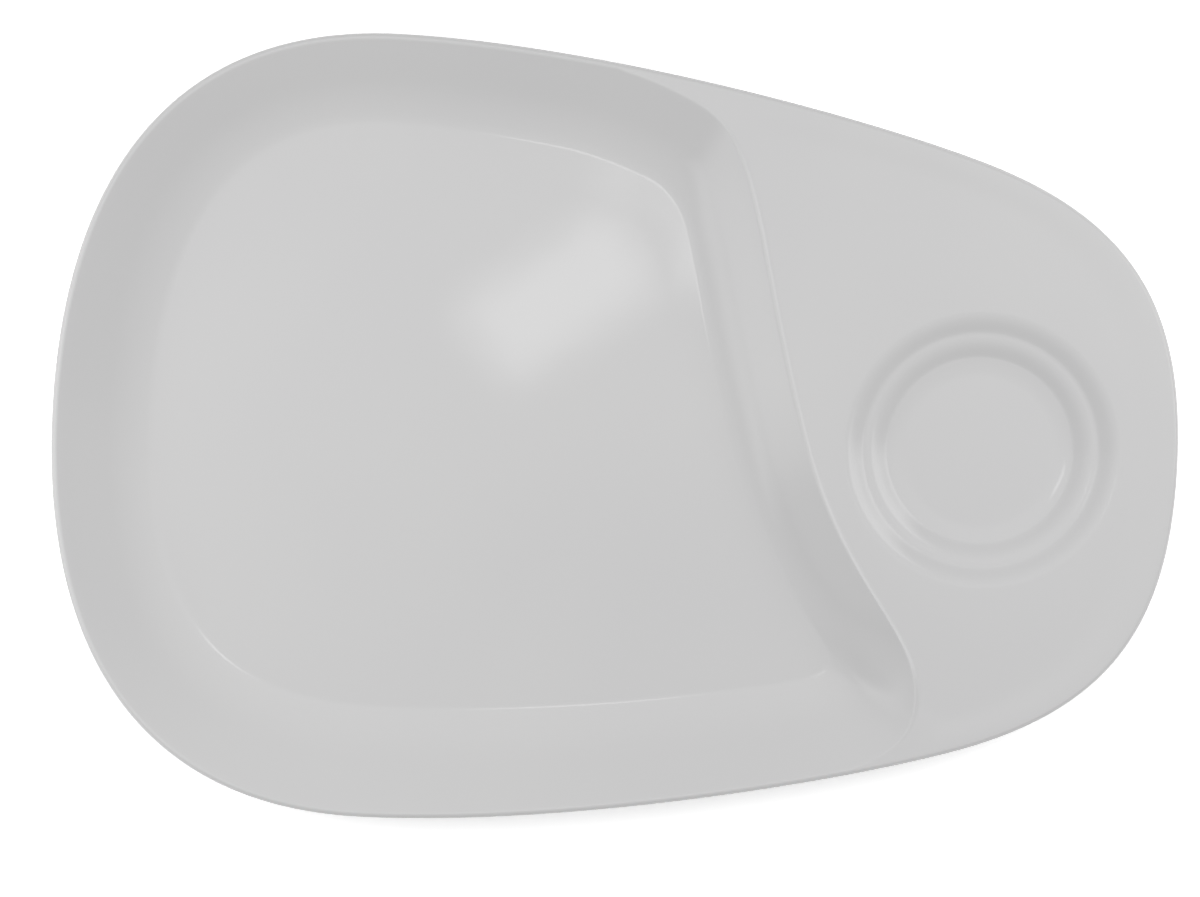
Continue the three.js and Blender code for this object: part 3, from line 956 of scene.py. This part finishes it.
def whiteFloor():
    material, tree = newMaterial("whiteFloor")
    path = addNode(tree, "ShaderNodeLightPath")
    colour = mixColours(tree, seenRays(path), floorLook["bounce"], floorLook["seen"])
    solid = addNode(tree, "ShaderNodeBsdfDiffuse", None, {"Color": colour})
    clear = addNode(tree, "ShaderNodeBsdfTransparent")
    behind = addNode(tree, "ShaderNodeNewGeometry").output("Backfacing")
    passing = path.output("Is Diffuse Ray").most(path.output("Is Shadow Ray"))
    clearness = behind.most(passing * floorLook["clearShare"])
    surface = addNode(tree, "ShaderNodeMixShader", None, [clearness, solid, clear])
    addNode(tree, "ShaderNodeOutputMaterial", None, {"Surface": surface})
    half = floorLook["size"] / 2
    mesh = bpy.data.meshes.new("floor")
    corners = [(-half, -half, 0), (half, -half, 0), (half, half, 0), (-half, half, 0)]
    mesh.from_pydata(corners, [], [(0, 1, 2, 3)])
    mesh.materials.append(material)
    floor = bpy.data.objects.new("floor", mesh)
    bpy.context.scene.collection.objects.link(floor)
    floor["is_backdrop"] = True


# A soft dome, brightest overhead and on the far side, with one plain soft panel.
# Directions are given as run over rise from straight up.
domeLook = {
    "base": 0.42,
    "below": 0.24,                # under the floor
    "belowFade": 0.05,
    "leastRise": 0.05,            # keeps level directions from running off
    "nearCeiling": 0.40,
    "farCeiling": 0.84,
    "ceilingEdge": (-0.07, 0.07),
    "panelCentre": (-0.020, 0.062),
    "panelTurn": math.radians(38),
    "panelHalf": (0.038, 0.020),
    "panelEdge": 0.014,
    "panelGain": 2.2,
    "backdropTop": 0.42,          # below this height camera and reflections see a plain white backdrop
    "backdropFade": 0.12,
}


def softDome():
    look = SimpleNamespace(**domeLook)
    world = bpy.data.worlds.new("softDome")
    bpy.context.scene.world = world
    world.use_nodes = True
    tree = world.node_tree
    tree.nodes.clear()
    x, y, z = parted(tree, addNode(tree, "ShaderNodeTexCoord").output("Generated"))
    up = z.most(look.leastRise)
    edge, stop = look.ceilingEdge
    far = ((y / up - edge) / (stop - edge)).eased()
    ceiling = (look.nearCeiling + (look.farCeiling - look.nearCeiling) * far) * z.most(0) * z.most(0)
    offX = x / up - look.panelCentre[0]
    offY = y / up - look.panelCentre[1]
    turnX = math.cos(look.panelTurn)
    turnY = math.sin(look.panelTurn)
    pastEnd = abs(offX * turnX + offY * turnY) - look.panelHalf[0]
    pastSide = abs(offY * turnX - offX * turnY) - look.panelHalf[1]
    endShare, sideShare = ((0.5 - past / (2 * look.panelEdge)).eased() for past in (pastEnd, pastSide))
    light = look.base + ceiling + look.panelGain * (endShare * sideShare)
    light = light + (look.below - light) * (z / -look.belowFade).clamped()
    seen = seenRays(addNode(tree, "ShaderNodeLightPath"))
    backdrop = seen * ((look.backdropTop - z) / look.backdropFade).clamped()
    strength = light + (1 - light) * backdrop
    shader = addNode(tree, "ShaderNodeBackground", None, {"Color": (1, 1, 1, 1), "Strength": strength})
    addNode(tree, "ShaderNodeOutputWorld", None, {"Surface": shader})


# Two soft lamps stand close by, so the light on the walls changes along the plate.
lampSizes = {
    "side": 0.42,
    "softEdge": 0.35,             # share of the side
}
lampLooks = {
    "leftLamp": {"place": (-0.36, -0.02, 0.20), "power": 0.75},
    "rightLamp": {"place": (0.43, 0.14, 0.32), "power": 1.00},
}


def softLamps():
    for name, look in lampLooks.items():
        data = bpy.data.lights.new(name, "AREA")
        data.size = lampSizes["side"]
        data.energy = look["power"]
        data.use_nodes = True
        tree = data.node_tree
        tree.nodes.clear()
        x, y, _ = parted(tree, addNode(tree, "ShaderNodeNewGeometry").output("Parametric"))
        fromMiddle = abs(x - 0.5).most(abs(y - 0.5))
        fade = ((0.5 - fromMiddle) / lampSizes["softEdge"]).eased()
        shader = addNode(tree, "ShaderNodeEmission", None, {"Color": (1, 1, 1, 1), "Strength": fade})
        addNode(tree, "ShaderNodeOutputLight", None, {"Surface": shader})
        lamp = bpy.data.objects.new(name, data)
        lamp.location = look["place"]
        aim = Vector(look["place"]).to_track_quat("Z", "Y")      # so that it shines at the origin
        lamp.rotation_euler = aim.to_euler()
        lamp.visible_camera = False
        bpy.context.scene.collection.objects.link(lamp)


# The camera looks straight down at the plate.
cameraLook = {
    "place": (-3.8 * mm, -3.0 * mm, 664.5 * mm),
    "turn": math.radians(3.1),
    "frameWidth": 318.7 * mm,     # at the rim's height
    "sensor": 36.0,
    "nearest": 0.01,
}


def overheadCamera():
    look = SimpleNamespace(**cameraLook)
    data = bpy.data.cameras.new("camera")
    data.sensor_fit = "HORIZONTAL"
    data.sensor_width = look.sensor
    data.lens = look.sensor * (look.place[2] - plateSizes["rimHeight"]) / look.frameWidth
    data.clip_start = look.nearest
    camera = bpy.data.objects.new("camera", data)
    camera.location = look.place
    camera.rotation_euler = (0, 0, look.turn)
    bpy.context.scene.collection.objects.link(camera)
    bpy.context.scene.camera = camera


whiteFloor()
softDome()
softLamps()
overheadCamera()
bpy.context.scene.view_settings.view_transform = "Standard"
print("floor, light and camera are in place")
